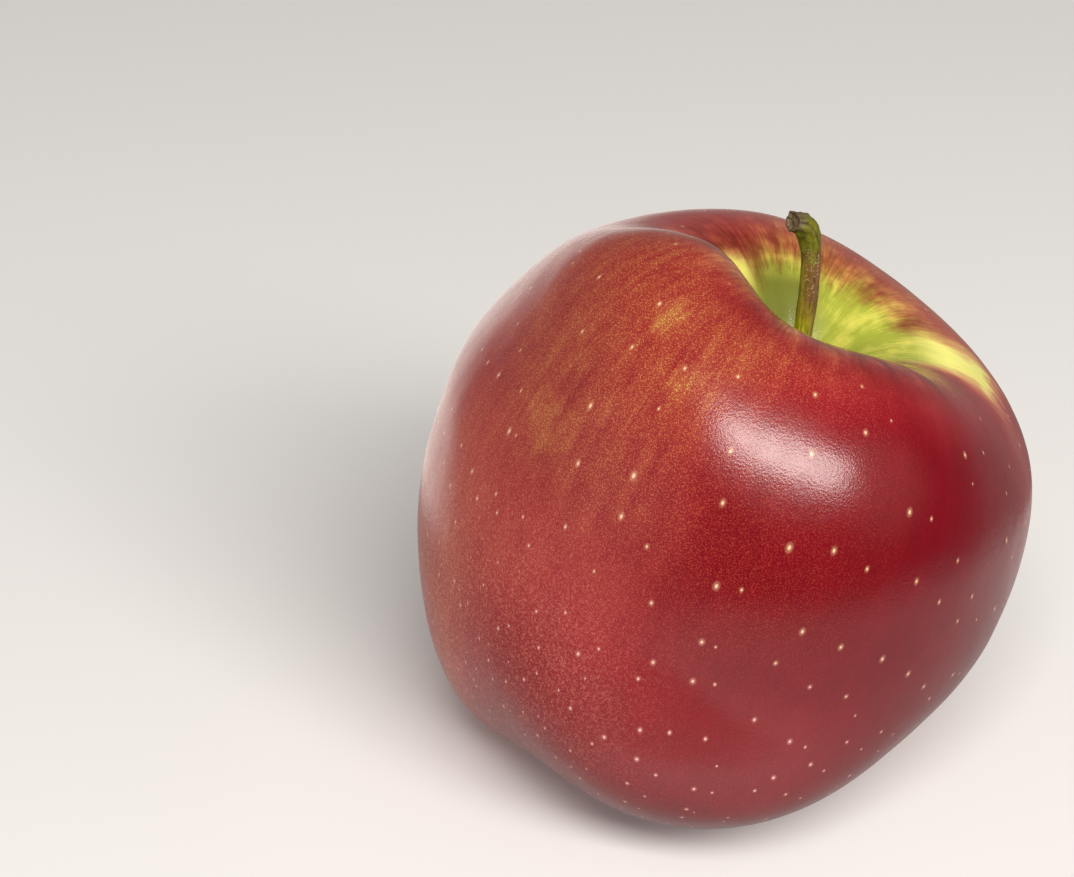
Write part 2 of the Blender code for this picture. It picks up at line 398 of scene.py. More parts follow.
# How many layers of flush lie all over, and how many more or fewer in some places. Low on the near side the
# extra layers are partly painted shade, and above the highlight the fewer layers are a painted glow
FLUSH_LAYERS = 1.45
FLUSH_PATCHES = {
    SUNNY_FRONT: 1.15,
    DULL_LEFT: -0.04,
    # Partly real deep flush, partly painted shade: darker low on the near side
    LOW_FRONT_FLUSH_AND_SHADE: 1.00,
    NEAR_RIM: 0.22,
    FAR_FLANK: -0.55,
    FAR_SHOULDER: -0.56,
    GOLDEN_LEFT: -0.05,
    # Painted highlight: fewer layers make the skin lighter round the top of the highlight, as its glow
    PAINTED_GLOW_ABOVE_GLOSS: -0.16,
}
OLIVE_SPOTS = ((-22.8, -22.6, 54.0, 5.5), (-8.6, -23.5, 69.5, 2.2), (-6.7, -29.6, 64.4, 3.4),
               (-17.5, -20.5, 62.5, 2.4))

# Streaks from the stem to the sepals: how many round the core and along it, and how finely they break up
STREAKS = {
    "wide": (4.0, 0.03, 2.0),
    "narrow": (18.0, 0.10, 3.0),
    "dashes": (26.0, 0.24, 3.0),
    "fine": (60.0, 0.35, 2.0),
    "lines": (9.0, 0.015, 3.0),
}
# Mottling, clouds and specks, by how far apart they are
MOTTLE_SIZE = 9.0 * MM
CLOUD_SIZE = 2.4 * MM
SPECK_SIZE = 0.17 * MM
COARSE_SPECK_SIZE = 0.42 * MM

# Lenticels: how many across, how they crowd, and their radius with the most that luck adds to it
LENTICELS_ACROSS = 8.0
LENTICEL_CROWDING = 0.8
LENTICEL_RADIUS = 0.13
LENTICEL_LUCK = 0.17
GIRTH = 39.0

# The wax, and the pores in it
WAX_ROUGHNESS = 0.18
WAX_UNEVEN = 0.10
PORE_SIZE = 0.30 * MM
PORE_STRENGTH = 0.28
PORE_DEPTH = 0.038 * MM


def skin_paint():
    material, tree, shader = new_material("waxed_skin", 0.33, IOR=1.5)
    place = put(tree, "ShaderNodeTexCoord").outputs["Object"]
    way = put(tree, "ShaderNodeAttribute", attribute_name="way", attribute_type="GEOMETRY").outputs["Vector"]
    parts = put(tree, "ShaderNodeSeparateXYZ", {0: way})
    run = Amount(tree, parts.outputs["Z"])

    def side(degrees, inner, outer, ragged=0.0):
        """1 within some degrees of this side of the core, and 0 beyond the outer ones."""
        turn = math.radians(degrees)
        facing = Amount(tree, parts.outputs["X"]) * math.cos(turn)
        facing = facing + Amount(tree, parts.outputs["Y"]) * math.sin(turn) + ragged
        return facing.rise(math.cos(math.radians(outer)), math.cos(math.radians(inner)))

    def patch(degrees, inner, outer, runs):
        return side(degrees, inner, outer) * run.between(*runs)

    def streaks(round_core, along, detail):
        pitch = (round_core, round_core, along)
        vector = put(tree, "ShaderNodeVectorMath", {0: way, 1: pitch}, operation="MULTIPLY")
        return noise_at(tree, vector.outputs[0], 1.0, detail)

    wide, narrow, dashes, fine, lines = (streaks(*sizes) for sizes in STREAKS.values())
    mottle = noise_at(tree, place, MOTTLE_SIZE)
    clouds = noise_at(tree, place, CLOUD_SIZE, 3.0)

    # How thick the flush lies over the ground: its patches, then its streaks and mottling
    patches = {where: patch(*where) for where in FLUSH_PATCHES}
    flush = run.rise(34, 56) * 0.15 + FLUSH_LAYERS
    for where, layers in FLUSH_PATCHES.items():
        flush = flush + patches[where] * layers
    sunny, dull, gold = patches[SUNNY_FRONT], patches[DULL_LEFT], patches[GOLDEN_LEFT]
    flush = flush + wide * 0.45 + narrow * (dull * 0.5 + 0.30) + dashes * (dull * 0.75 + 0.1)
    flush = flush + fine * 0.30 + mottle * 0.45 + clouds * 0.30

    # It has a ragged edge round the cavity, and thins towards the sepals
    ragged = narrow * 5.0 + wide * 7.0 + fine * 4.0 + mottle * 10.0 + clouds * 5.0
    edge = run - side(56, 25, 60) * 2.5 + side(108, 10, 30) * 1.2 + ragged
    flush = flush * edge.rise(15.0, 28.0)
    flush = flush * (run.rise(104.0, 124.0) * 0.65).left_of(1.0)

    # Two patches on the rim where a leaf kept the sun off are bare
    bare_end = (run + narrow * 8.0 + clouds * 5.0 + mottle * 8.0).rise(39.5, 31.0)
    bare = side(8, 4, 19, mottle * 0.05 + dashes * 0.025) * bare_end
    bare_far = side(130, 4, 15) * (run + narrow * 4.0 + clouds * 3.0).rise(22.5, 18.0) * 0.85
    flush = flush * bare.sum("MAXIMUM", bare_far).left_of(1.0)

    # Olive spots where it is thin
    olive = None
    for x, y, z, reach in OLIVE_SPOTS:
        spot = (x * MM, y * MM, z * MM)
        away = put(tree, "ShaderNodeVectorMath", {0: place, 1: spot}, operation="DISTANCE")
        away = Amount(tree, away.outputs["Value"]) + (mottle + dashes * 0.5) * (6 * MM)
        near = away.rise(1.3 * reach * MM, 0.0)
        olive = near if olive is None else olive.sum("MAXIMUM", near)
    flush = flush - olive * 0.42

    # Fine specks like sand, golden on the dull left shoulder, and coarse and pink low down on that side
    specks, grain = flecks_at(tree, place, SPECK_SIZE, 0.49, 0.66)
    coarse, _ = flecks_at(tree, place, COARSE_SPECK_SIZE, 0.48, 0.68)
    low_left = patch(*LOW_LEFT)
    flush = flush - specks * (run.rise(20, 28) * (gold * 0.60 + 0.12)) * 0.95
    flush = (flush - (coarse * 0.25 + specks * 0.35 + 0.36) * low_left).sum("MAXIMUM", 0.0)

    # The ground: yellow, and green in the cavity and towards the sepals, with painted shade deep in the
    # cavity
    greener = (run.rise(33.0, 18.0) + run.rise(108.0, 124.0) + olive * 0.65).sum("MINIMUM", 1.0)
    greener = greener * (wide * 1.2 + lines * 1.5 + fine * 1.2 + clouds * 2.2 + 0.84)
    ground = mix(tree, greener, GROUND_YELLOW, GROUND_GREEN)
    ground = mix(tree, dull * 0.9, ground, GROUND_OLIVE)
    # Painted shade: the ground turns dark green deep in the cavity and on its far wall, in the shadow of the
    # stem and rim
    painted_light_and_shade = (patch(*STEM_SHADOW_WALL) * 0.85 + run.rise(19.0, 10.0) * 0.38).sum("MINIMUM", 1.0)
    ground = mix(tree, painted_light_and_shade, ground, PAINTED_SHADE_GREEN)
    yellow = (bare * run.rise(20.0, 27.0)).sum("MAXIMUM", bare_far * run.rise(13.0, 17.5) * 0.70)
    ground = mix(tree, yellow, ground, BARE_YELLOW)

    # Each layer of flush lets through only a share of each colour of the ground
    bands = put(tree, "ShaderNodeSeparateColor", {0: ground})
    passed = [Amount(tree, band) * (flush * math.log(share)).sum("EXPONENT")
              for band, share in zip(bands.outputs, FLUSH_PASSES)]
    colour = put(tree, "ShaderNodeCombineColor", dict(enumerate(passed))).outputs[0]
    colour = mix(tree, specks * gold * 0.07, colour, GOLD_SPECK)
    sprinkled = specks * run.rise(28, 36) * (sunny.left_of(1.0) * 0.03)
    colour = mix(tree, (coarse * 0.12 + specks * 0.12) * low_left + sprinkled, colour, PINK_SPECK)
    colour = mix(tree, run.rise(52, 84) * (low_left.left_of(1.0) * 0.04 + 0.01), colour, PALE_BLOOM)

    # Lenticels: large and far apart on the shoulder, small and close towards the sepals
    share = run * (1.0 / SKIN_LENGTH)
    spread = (share * (0.5 * math.pi)).sum("TANGENT") ** LENTICEL_CROWDING
    flat = put(tree, "ShaderNodeCombineXYZ",
               {"X": spread * parts.outputs["X"], "Y": spread * parts.outputs["Y"]})
    cells = put(tree, "ShaderNodeTexVoronoi",
                {"Vector": flat.outputs[0], "Scale": LENTICELS_ACROSS, "Randomness": 0.85},
                voronoi_dimensions="2D", feature="F1")
    girth = (share * math.pi).sum("SINE") ** 0.6 * GIRTH
    away = Amount(tree, cells.outputs["Distance"]) * girth / (spread * (0.87 * LENTICELS_ACROSS))
    luck = Amount(tree, put(tree, "ShaderNodeSeparateColor", {0: cells.outputs["Color"]}).outputs[0])
    core = (luck * LENTICEL_LUCK + LENTICEL_RADIUS) * (run.rise(45, 90) * 0.35).left_of(1.0)
    halo = away.rise(core * 2.4, core)
    dots = (away.rise(core, core * 0.40) * 0.80 + halo * 0.20) * run.between(22, 34, 104, 118)
    colour = mix(tree, dots, colour, mix(tree, run.rise(45, 75), SHOULDER_LENTICEL, FLANK_LENTICEL))
    feed(tree, shader.inputs["Base Color"], colour)

    # The wax: a little uneven, so that highlights are mottled
    feed(tree, shader.inputs["Roughness"], (mottle + clouds + grain) * WAX_UNEVEN + WAX_ROUGHNESS)
    pores, _ = flecks_at(tree, place, PORE_SIZE, 0.30, 0.75)
    height = pores + fine * 0.1 + dots * 0.5
    bump = put(tree, "ShaderNodeBump", {"Height": height, "Strength": PORE_STRENGTH, "Distance": PORE_DEPTH})
    feed(tree, shader.inputs["Normal"], bump.outputs[0])
    return material


skin = grow("skin", skin_tree(), SKIN_SIZES, skin_paint())
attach(skin, "root")
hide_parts("fruit")

# Stem
# The stem is the woody stalk that the fruit hung by. It grows out of the cavity's floor, green to
# brown and faintly ribbed, and ends in a thick knob with the dished scar where it came off the twig.
STEM_AXIS = [
    ((6.85, -2.30, 15.00), 1.05),
    ((7.15, -2.30, 16.60), 1.10),
    ((7.80, -2.40, 19.60), 1.20),
    ((8.65, -2.60, 23.70), 1.18),
    ((9.00, -2.70, 27.20), 1.23),
    ((9.20, -2.70, 30.00), 1.21),
    ((9.30, -2.70, 33.30), 1.21),
    ((9.15, -2.75, 35.30), 1.33),
    ((8.80, -3.05, 36.95), 1.48),
    ((8.10, -3.60, 38.10), 1.48),
    ((7.30, -4.20, 38.70), 1.30),
    ((6.85, -4.55, 38.85), 1.16),
]
STEM_SIDES = 72
STEM_STEPS = 14
RIDGES = 3.0
RIDGE_TWIST = 0.08
RIDGE_HEIGHT = 0.035
FIBRE_HEIGHT = 0.09
FIBRES_ROUND = 3.2
FIBRES_ALONG = 0.35
WART_HEIGHT = 0.22
WARTS_ALONG = 1.1
WARTS_ROUND = 1.9
KNOB_FROM = 0.80
KNOB_FULL = 0.92
# The scar at the end: each ring's share of the stem's radius, and how far out it lies
SCAR_RINGS = ((1.06, 0.03), (0.92, 0.02), (0.80, -0.10), (0.68, -0.24), (0.45, -0.30), (0.22, -0.22),
              (0.10, -0.12))
OLIVE_BARK = (0.370, 0.350, 0.002, 1.0)
BROWN_BARK = (0.170, 0.078, 0.018, 1.0)
PURPLE_BARK = (0.170, 0.075, 0.036, 1.0)
GREEN_BARK = (0.160, 0.160, 0.009, 1.0)
SCAR_WOOD = (0.150, 0.105, 0.055, 1.0)
DARK_BARK = (0.030, 0.020, 0.010, 1.0)
PALE_BARK = (0.480, 0.400, 0.230, 1.0)
BARK_GRAIN = (3.5, 3.5, 0.45)
BLOTCH_SIZE = 1.6 * MM
BARK_FLECK_SIZE = 0.24 * MM
PIT_SIZE = 0.55 * MM
BARK_RELIEF = 0.12 * MM


def curve_through(points, steps):
    """Points on a smooth curve through the given ones."""
    points = np.array(points)
    ends = np.concatenate([[2 * points[0] - points[1]], points, [2 * points[-1] - points[-2]]])
    out = []
    for before, start, end, after in zip(ends, ends[1:], ends[2:], ends[3:]):
        for k in range(steps):
            t = k / steps
            bend = 2 * before - 5 * start + 4 * end - after
            twist = 3 * start - before - 3 * end + after
            out.append(0.5 * (2 * start + (end - before) * t + bend * t * t + twist * t ** 3))
    return np.array(out + [points[-1]])


def stem_mesh():
    middle = np.array(SKIN_SIZES["Middle"])
    steps = curve_through([(*point, radius) for point, radius in STEM_AXIS], STEM_STEPS)
    axis, radii = steps[:, :3] + middle, steps[:, 3]
    along = np.gradient(axis, axis=0)
    along /= np.linalg.norm(along, axis=1)[:, None]
    run = np.concatenate([[0.0], np.cumsum(np.linalg.norm(np.diff(axis, axis=0), axis=1))])
    across = np.array([1.0, 0.0, 0.0])
    rings = []
    for centre, forward, radius, far in zip(axis, along, radii, run):
        across = across - forward * (across @ forward)
        across /= np.linalg.norm(across)
        rings.append((centre, forward, across, radius, far))
    centre, forward, across, radius, far = rings[-1]
    for share, out in SCAR_RINGS:
        rings.append((centre + out * forward, forward, across, radius * share, far + 1.0 - share))
    bm = bmesh.new()
    way = bm.verts.layers.float_vector.new("way")
    grid = []
    for centre, forward, across, radius, far in rings:
        knob = np.clip((far / run[-1] - KNOB_FROM) / (KNOB_FULL - KNOB_FROM), 0.0, 1.0)
        ring = []
        for turn in np.linspace(0.0, 2.0 * math.pi, STEM_SIDES, endpoint=False):
            out = math.cos(turn) * across + math.sin(turn) * np.cross(forward, across)
            fibres = noise.noise(Vector((FIBRES_ROUND * math.cos(turn), FIBRES_ROUND * math.sin(turn),
                                         FIBRES_ALONG * far)))
            warts = noise.noise(Vector(centre * WARTS_ALONG + out * WARTS_ROUND))
            ridged = 1.0 + RIDGE_HEIGHT * math.cos(RIDGES * turn + RIDGE_TWIST * far)
            size = radius * ridged + FIBRE_HEIGHT * fibres + WART_HEIGHT * knob * warts
            vert = bm.verts.new((centre + size * out) * MM)
            vert[way] = (math.cos(turn), math.sin(turn), far)
            ring.append(vert)
        grid.append(ring)
    for lower, upper in zip(grid, grid[1:]):
        for k in range(STEM_SIDES):
            after = (k + 1) % STEM_SIDES
            bm.faces.new((lower[k], lower[after], upper[after], upper[k]))
    for ring, spot in ((grid[0], rings[0]), (grid[-1], rings[-1])):
        pole = bm.verts.new(spot[0] * MM)
        pole[way] = (0.0, 0.0, spot[4])
        for k in range(STEM_SIDES):
            bm.faces.new((pole, ring[k], ring[(k + 1) % STEM_SIDES]))
    bmesh.ops.recalc_face_normals(bm, faces=bm.faces)
    mesh = bpy.data.meshes.new("stem")
    bm.to_mesh(mesh)
    bm.free()
    mesh.shade_smooth()
    return mesh, run[-1]


def bark_paint(length):
    material, tree, shader = new_material("stem_bark", 0.55, IOR=1.35)
    place = put(tree, "ShaderNodeTexCoord").outputs["Object"]
    way = put(tree, "ShaderNodeAttribute", attribute_name="way", attribute_type="GEOMETRY").outputs["Vector"]
    parts = put(tree, "ShaderNodeSeparateXYZ", {0: way})
    run = Amount(tree, parts.outputs["Z"]) * (1.0 / length)
    right = Amount(tree, parts.outputs["X"])
    long_grain = put(tree, "ShaderNodeVectorMath", {0: way, 1: BARK_GRAIN}, operation="MULTIPLY")
    fibres = noise_at(tree, long_grain.outputs[0], 1.0, 4.0)
    blotch = noise_at(tree, place, BLOTCH_SIZE, 3.0)

    # Olive at the foot, brown to purple in the middle, green again below the knob, and grey at the scar, with
    # painted light down the left side
    wander = run + blotch * 0.25
    colour = mix(tree, wander.rise(0.34, 0.56), OLIVE_BARK, BROWN_BARK)
    colour = mix(tree, wander.rise(0.70, 0.80), colour, GREEN_BARK)
    sunny = (right + fibres * 1.2).rise(0.25, 0.85) * run.between(0.10, 0.25, 0.72, 0.85)
    colour = mix(tree, sunny * 0.75, colour, PURPLE_BARK)
    # Painted light: the left side of the middle goes back to the paler olive, as if lit there
    painted_light_and_shade = (right + fibres * 1.5).rise(-0.15, -0.80) * run.between(0.20, 0.35, 0.66, 0.80)
    colour = mix(tree, painted_light_and_shade * 0.45, colour, OLIVE_BARK)
    colour = mix(tree, wander.rise(0.93, 0.99), colour, SCAR_WOOD)
    colour = mix(tree, fibres.rise(0.08, -0.22) * 0.72, colour, DARK_BARK)
    flecks, grain = flecks_at(tree, place, BARK_FLECK_SIZE, 0.58, 0.70)
    colour = mix(tree, flecks * (run.between(0.45, 0.60, 0.80, 0.90) * 0.45 + 0.2), colour, PALE_BARK)
    pits, _ = flecks_at(tree, place, PIT_SIZE, 0.60, 0.70)
    colour = mix(tree, pits * run.rise(0.78, 0.90) * 0.8, colour, DARK_BARK)
    feed(tree, shader.inputs["Base Color"], colour)
    feed(tree, shader.inputs["Roughness"], fibres * 0.3 + 0.55)
    bump = put(tree, "ShaderNodeBump",
               {"Height": fibres + grain * 0.5, "Strength": 0.7, "Distance": BARK_RELIEF})
    feed(tree, shader.inputs["Normal"], bump.outputs[0])
    return material


stem_shape, stem_length = stem_mesh()
stem_shape.materials.append(bark_paint(stem_length))
stem = bpy.data.objects.new("stalk", stem_shape)
scene.collection.objects.link(stem)
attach(stem, "root")
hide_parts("stem")

# Calyx
# The calyx is what is left of the flower, down in the basin on the underside: five dried, grey-brown
# sepals that curl away from the skin, round a dark throat with a few withered stamens.
SEPAL_SIZES = {
    "Sepals": 5,
    "Steps Round": 24,
    "Steps Along": 28,
    "Root": 1.0,
    "Length": 4.7,
    "Half Width": 1.45,
    "Half Thickness": 0.16,
    "Curl": 0.85,
    "Cup": 0.45,
    "Gap": 0.42,
    "Throat": 1.75,
    "Stamens": 12,
    "Stamen Length": 2.1,
    "Stamen Radius": 0.11,
    "Wrinkle Height": 0.38,
    "Wrinkle Size": 1.1,
    "Seed": 4,
    "Radius": SKIN_SIZES["Radius"],
    "Crown Depth": SKIN_SIZES["Crown Depth"],
    "Crown Fullness": SKIN_SIZES["Crown Fullness"],
    "Basin Depth": SKIN_SIZES["Basin Depth"],
    "Basin Width": SKIN_SIZES["Basin Width"],
    "Lean Right": SKIN_SIZES["Lean Right"],
    "Lean Near": SKIN_SIZES["Lean Near"],
    "Middle": SKIN_SIZES["Middle"],
}
SEPAL_TAPER = 0.58
SEPAL_FULLNESS = 0.85
THROAT_RISE = 0.32
TURN_TO_NEXT_STAMEN = 2.39996
GREEN_SEPAL = (0.110, 0.080, 0.034, 1.0)
BROWN_SEPAL = (0.185, 0.108, 0.055, 1.0)
GREY_SEPAL = (0.340, 0.265, 0.190, 1.0)
DARK_SEPAL = (0.022, 0.014, 0.009, 1.0)
SEPAL_VEINS = (6.0, 1.2, 1.0)
SEPAL_BLOTCH_SIZE = 0.9 * MM
SEPAL_FLECK_SIZE = 0.22 * MM
SEPAL_RELIEF = 0.10 * MM


def calyx_tree():
    tree, given = new_tree("dried sepals", SEPAL_SIZES)

    # One sepal: a thin closed leaf that narrows to its tip, with its length on an arc away from the skin
    leaf = put(tree, "GeometryNodeMeshGrid",
               {"Vertices X": given["Steps Round"] + 1.0, "Vertices Y": given["Steps Along"],
                "Size X": 1.0, "Size Y": 1.0})
    spot = put(tree, "ShaderNodeSeparateXYZ", {0: put(tree, "GeometryNodeInputPosition").outputs[0]})
    turn = (Amount(tree, spot.outputs["X"]) + 0.5) * (2.0 * math.pi)
    share = Amount(tree, spot.outputs["Y"]) + 0.5
    outline = (share ** SEPAL_TAPER * math.pi).sum("SINE").sum("MAXIMUM", 0.0) ** SEPAL_FULLNESS
    across = turn.sum("COSINE") * outline * given["Half Width"]
    thick = turn.sum("SINE") * outline ** 0.5 * given["Half Thickness"]
    arc = share * given["Curl"]
    bend = given["Length"] / given["Curl"]
    cup = (across / given["Half Width"]) ** 2.0 * given["Cup"] * share
    out = bend * arc.sum("SINE") - (thick + cup) * arc.sum("SINE") + given["Root"]
    off = bend * arc.sum("COSINE").left_of(1.0) + (thick + cup) * arc.sum("COSINE")
    bent = put(tree, "ShaderNodeCombineXYZ", {"X": out, "Y": across, "Z": -off})
    way = put(tree, "ShaderNodeCombineXYZ", {"X": turn.sum("COSINE"), "Y": share, "Z": 1.0})
    noted = put(tree, "GeometryNodeStoreNamedAttribute",
                {"Geometry": leaf.outputs[0], "Name": "way", "Value": way.outputs[0]},
                data_type="FLOAT_VECTOR", domain="POINT")
    curled = put(tree, "GeometryNodeSetPosition",
                 {"Geometry": noted.outputs[0], "Position": bent.outputs[0]})
    sepal = put(tree, "GeometryNodeFlipFaces", {"Mesh": curled.outputs[0]})

    # Five of them round the throat, each a little different
    place = put(tree, "GeometryNodeMeshLine", {"Count": given["Sepals"], "Offset": (0.0, 0.0, 0.0)})
    number = Amount(tree, put(tree, "GeometryNodeInputIndex").outputs[0])

    def luck(low, high, extra):
        """A number of its own for each sepal or stamen."""
        node = put(tree, "FunctionNodeRandomValue", {2: low, 3: high, 8: given["Seed"] + extra},
                   data_type="FLOAT")
        return Amount(tree, node.outputs[1])

    spin = put(tree, "ShaderNodeCombineXYZ",
               {"X": luck(-0.22, 0.22, 1.0), "Y": luck(-0.10, 0.12, 2.0),
                "Z": number * (2.0 * math.pi) / given["Sepals"] + luck(-0.12, 0.12, 3.0)})
    whorl = put(tree, "GeometryNodeInstanceOnPoints",
                {"Points": place.outputs[0], "Instance": sepal.outputs[0], "Rotation": spin.outputs[0],
                 "Scale": luck(0.86, 1.04, 4.0)})

    # The withered stamens stand in a bundle on the throat
    stamen_line = put(tree, "GeometryNodeCurveQuadraticBezier",
                      {"Resolution": 8, "Start": (0.0, 0.0, 0.0), "Middle": (0.1, 0.0, -0.55),
                       "End": (0.42, 0.0, -0.85)})
    stamen_ring = put(tree, "GeometryNodeCurvePrimitiveCircle",
                      {"Resolution": 8, "Radius": given["Stamen Radius"] / given["Stamen Length"]})
    stamen = put(tree, "GeometryNodeCurveToMesh",
                 {"Curve": stamen_line.outputs[0], "Profile Curve": stamen_ring.outputs[0],
                  "Fill Caps": True})
    feet = put(tree, "GeometryNodeMeshLine", {"Count": given["Stamens"], "Offset": (0.0, 0.0, 0.0)})
    foot_turn = number * TURN_TO_NEXT_STAMEN
    foot_out = (number / given["Stamens"]) ** 0.5
    foot = put(tree, "ShaderNodeCombineXYZ",
               {"X": foot_turn.sum("COSINE") * foot_out, "Y": foot_turn.sum("SINE") * foot_out, "Z": -0.2})
    set_feet = put(tree, "GeometryNodeSetPosition",
                   {"Geometry": feet.outputs[0], "Position": foot.outputs[0]})
    twist = put(tree, "ShaderNodeCombineXYZ",
                {"X": luck(-0.3, 0.3, 5.0), "Y": luck(-0.3, 0.1, 6.0), "Z": foot_turn + luck(-1.0, 1.0, 7.0)})
    bundle = put(tree, "GeometryNodeInstanceOnPoints",
                 {"Points": set_feet.outputs[0], "Instance": stamen.outputs[0], "Rotation": twist.outputs[0],
                  "Scale": given["Stamen Length"] * luck(0.75, 1.05, 8.0)})

    # The throat: a low rounded cushion that closes the middle
    ball = put(tree, "GeometryNodeMeshUVSphere", {"Segments": 40, "Rings": 20, "Radius": given["Throat"]})
    throat = put(tree, "GeometryNodeTransform",
                 {"Geometry": ball.outputs[0], "Scale": (1.0, 1.0, THROAT_RISE)})

    # All of it follows the basin, with the wrinkles of dry leaves
    both = tree.nodes.new("GeometryNodeJoinGeometry")
    for part in (throat, bundle, whorl):
        tree.links.new(part.outputs[0], both.inputs[0])
    real = put(tree, "GeometryNodeRealizeInstances", {"Geometry": both.outputs[0]})
    shut = put(tree, "GeometryNodeMergeByDistance",
               {"Geometry": real.outputs[0], "Distance": 2.0 * SHUT_WITHIN})
    here = put(tree, "GeometryNodeInputPosition").outputs[0]
    spot = put(tree, "ShaderNodeSeparateXYZ", {0: here})
    x, y, z = (Amount(tree, spot.outputs[name]) for name in "XYZ")
    radius = (x * x + y * y) ** 0.5
    tip = (radius / given["Radius"]) ** (0.5 * given["Crown Fullness"])
    floor_z = -((tip * tip).left_of(1.0) ** (given["Crown Fullness"] ** -1.0)) * given["Crown Depth"]
    dip = (-((radius / given["Basin Width"]) ** 2.0)).sum("EXPONENT")
    angle = y.sum("ARCTAN2", x)
    floor_z = floor_z + dip * given["Basin Depth"] + dip.left_of(1.0) * waves_at(angle, CROWN_WAVES)
    wrinkles = put(tree, "ShaderNodeTexNoise",
                   {"Vector": here, "Scale": given["Wrinkle Size"] ** -1.0, "Detail": 3.0})
    crease = (Amount(tree, wrinkles.outputs["Fac"]) - 0.5) * given["Wrinkle Height"]
    seated = put(tree, "ShaderNodeCombineXYZ", {"X": x, "Y": y, "Z": z - given["Gap"] + floor_z + crease})
    followed = put(tree, "GeometryNodeSetPosition",
                   {"Geometry": shut.outputs[0], "Position": seated.outputs[0]})
    end_tree(tree, lean(tree, followed, given).outputs[0], given)
    return tree


def sepal_paint():
    material, tree, shader = new_material("dried_sepal", 0.8, IOR=1.4)
    place = put(tree, "ShaderNodeTexCoord").outputs["Object"]
    way = put(tree, "ShaderNodeAttribute", attribute_name="way", attribute_type="GEOMETRY").outputs["Vector"]
    parts = put(tree, "ShaderNodeSeparateXYZ", {0: way})
    share = Amount(tree, parts.outputs["Y"])
    leaf = Amount(tree, parts.outputs["Z"])
    edge = Amount(tree, parts.outputs["X"]).sum("ABSOLUTE")
    veins = put(tree, "ShaderNodeVectorMath", {0: way, 1: SEPAL_VEINS}, operation="MULTIPLY")
    fibres = noise_at(tree, veins.outputs[0], 1.0, 3.0)
    blotch = noise_at(tree, place, SEPAL_BLOTCH_SIZE, 3.0)

    # Green-brown at the root, grey at the edges and the tip, and dark in the veins and the throat
    colour = mix(tree, (share + blotch).rise(0.15, 0.75), GREEN_SEPAL, BROWN_SEPAL)
    colour = mix(tree, (share + edge * 0.5 + blotch * 0.8).rise(0.95, 1.45), colour, GREY_SEPAL)
    flecks, grain = flecks_at(tree, place, SEPAL_FLECK_SIZE, 0.52, 0.66)
    colour = mix(tree, flecks * 0.45, colour, GREY_SEPAL)
    colour = mix(tree, fibres.rise(0.02, -0.22) * 0.7, colour, DARK_SEPAL)
    colour = mix(tree, leaf.rise(1.0, 0.0) * 0.7, colour, DARK_SEPAL)
    feed(tree, shader.inputs["Base Color"], colour)
    feed(tree, shader.inputs["Roughness"], grain * 0.3 + 0.68)
    bump = put(tree, "ShaderNodeBump", {"Height": fibres + grain, "Strength": 0.8, "Distance": SEPAL_RELIEF})
    feed(tree, shader.inputs["Normal"], bump.outputs[0])
    return material


calyx = grow("dried_calyx", calyx_tree(), SEPAL_SIZES, sepal_paint())
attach(calyx, "root")
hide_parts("calyx")

# Floor
# A plain pale table top, far wider than the view, that the fruit stands on. What the wax mirrors of
# it is a round white card that lies under the fruit and ends a hand's width from it.
# Here sizes are in metres
FLOOR_HALF = 6.0
FLOOR_COLOUR = (0.84, 0.83, 0.82, 1.0)
FLOOR_GLOW = 0.10
CARD_DROP = 0.0005
CARD_REACH = 0.104
CARD_COLOUR = (0.43, 0.42, 0.41, 1.0)
CARD_SHADE = (0.22, 0.21, 0.20, 1.0)
CARD_GLOW = 0.25
CARD_GLOW_COLOUR = (1.0, 0.98, 0.96, 1.0)
CARD_GLOW_SHADE = (0.5, 0.49, 0.48, 1.0)
SHADE_TO_THE_LEFT = (-0.02, -0.075)
SHADE_UNDER_FRUIT = (0.080, 0.045)
SHADE_UNDER_SHARE = 0.55


def flat_sheet(name, outline, height, material):
    """A flat stage sheet with this outline, in metres."""
    mesh = bpy.data.meshes.new(name)
    mesh.from_pydata([(x, y, height) for x, y in outline], [], [tuple(range(len(outline)))])
    mesh.materials.append(material)
    sheet = bpy.data.objects.new(name, mesh)
    scene.collection.objects.link(sheet)
    return sheet


floor_paint, _, floor_shader = new_material("pale_table", 0.85, Emission_Strength=FLOOR_GLOW)
floor_shader.inputs["Emission Color"].default_value = FLOOR_COLOUR
floor_shader.inputs["Base Color"].default_value = FLOOR_COLOUR
floor_edge = [(x * FLOOR_HALF, y * FLOOR_HALF) for x, y in ((-1, -1), (1, -1), (1, 1), (-1, 1))]
floor = flat_sheet("floor", floor_edge, 0.0, floor_paint)
floor.visible_glossy = False
floor.visible_diffuse = False
floor.visible_shadow = False

card_paint, card_tree, card_shader = new_material("white_card", 0.85, Emission_Strength=CARD_GLOW)
card_place = put(card_tree, "ShaderNodeTexCoord").outputs["Object"]
across = put(card_tree, "ShaderNodeSeparateXYZ", {0: card_place})
far = put(card_tree, "ShaderNodeVectorMath", {0: card_place}, operation="LENGTH")
under = Amount(card_tree, far.outputs["Value"]).rise(*SHADE_UNDER_FRUIT) * SHADE_UNDER_SHARE
shade = Amount(card_tree, across.outputs["X"]).rise(*SHADE_TO_THE_LEFT).sum("MAXIMUM", under)
feed(card_tree, card_shader.inputs["Base Color"], mix(card_tree, shade, CARD_COLOUR, CARD_SHADE))
feed(card_tree, card_shader.inputs["Emission Color"],
     mix(card_tree, shade, CARD_GLOW_COLOUR, CARD_GLOW_SHADE))
card_edge = [(CARD_REACH * math.cos(math.radians(turn)), CARD_REACH * math.sin(math.radians(turn)))
             for turn in range(0, 360, 5)]
card = flat_sheet("white_card", card_edge, -CARD_DROP, card_paint)
